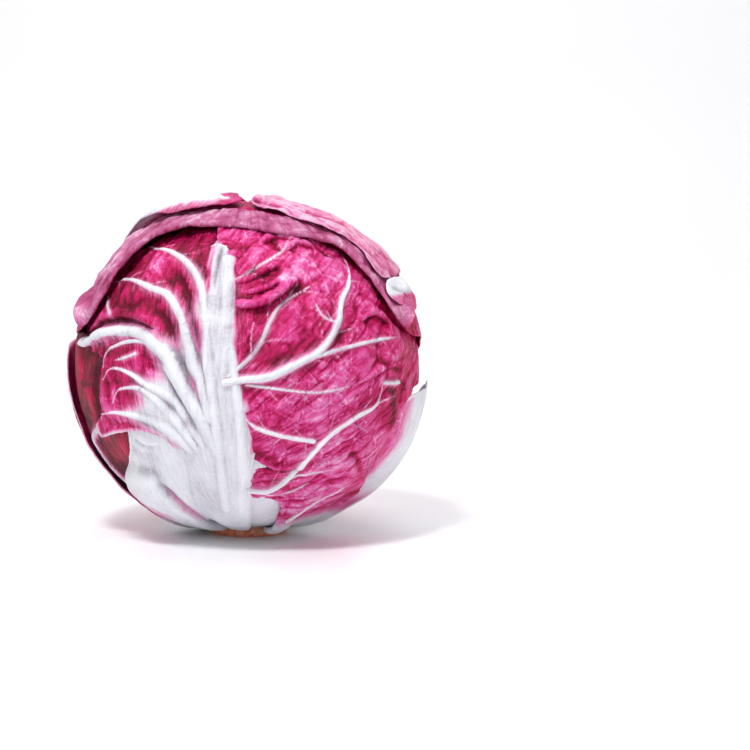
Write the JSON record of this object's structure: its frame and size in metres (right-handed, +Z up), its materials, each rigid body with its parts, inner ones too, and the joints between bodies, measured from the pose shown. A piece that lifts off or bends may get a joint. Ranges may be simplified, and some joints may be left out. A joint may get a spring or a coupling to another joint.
{
  "type": "radicchio head",
  "caption": "Round head of radicchio, crimson leaves with white ribs wrapped round a core, standing on its cut stem.",
  "frame": {"origin": "centre of the cut stem's flat underside, which the head stands on", "axes": "+Z up through the head, -Y towards the front with the white midrib, +X to the front's right"},
  "size_m": [0.1205, 0.121, 0.1148],
  "materials": {
    "crimson_leaf": "waxy satin, white veins",
    "white_rib_leaf": "waxy satin, crimson blade",
    "inner_leaf": "waxy satin",
    "stem": "matt cut face"
  },
  "bodies": {
    "root": {"stem_core": "stem", "heart_bud": "inner_leaf", "inner_leaf_01": "inner_leaf", "inner_leaf_02": "inner_leaf", "inner_leaf_03": "inner_leaf", "inner_leaf_04": "inner_leaf", "inner_leaf_05": "inner_leaf", "inner_leaf_06": "inner_leaf", "inner_leaf_07": "inner_leaf", "inner_leaf_08": "inner_leaf", "inner_leaf_09": "inner_leaf", "inner_leaf_10": "inner_leaf", "inner_leaf_11": "inner_leaf", "inner_leaf_12": "inner_leaf", "left_strip_leaf": "crimson_leaf", "lower_left_leaf": "white_rib_leaf", "front_rib_leaf": "white_rib_leaf", "right_outer_leaf": "crimson_leaf", "right_wrapper_leaf": "crimson_leaf", "hood_leaf": "crimson_leaf", "left_outer_leaf": "crimson_leaf", "top_left_leaf": "crimson_leaf", "top_right_leaf": "crimson_leaf", "side_curl_leaf": "white_rib_leaf"}
  },
  "joints": []
}
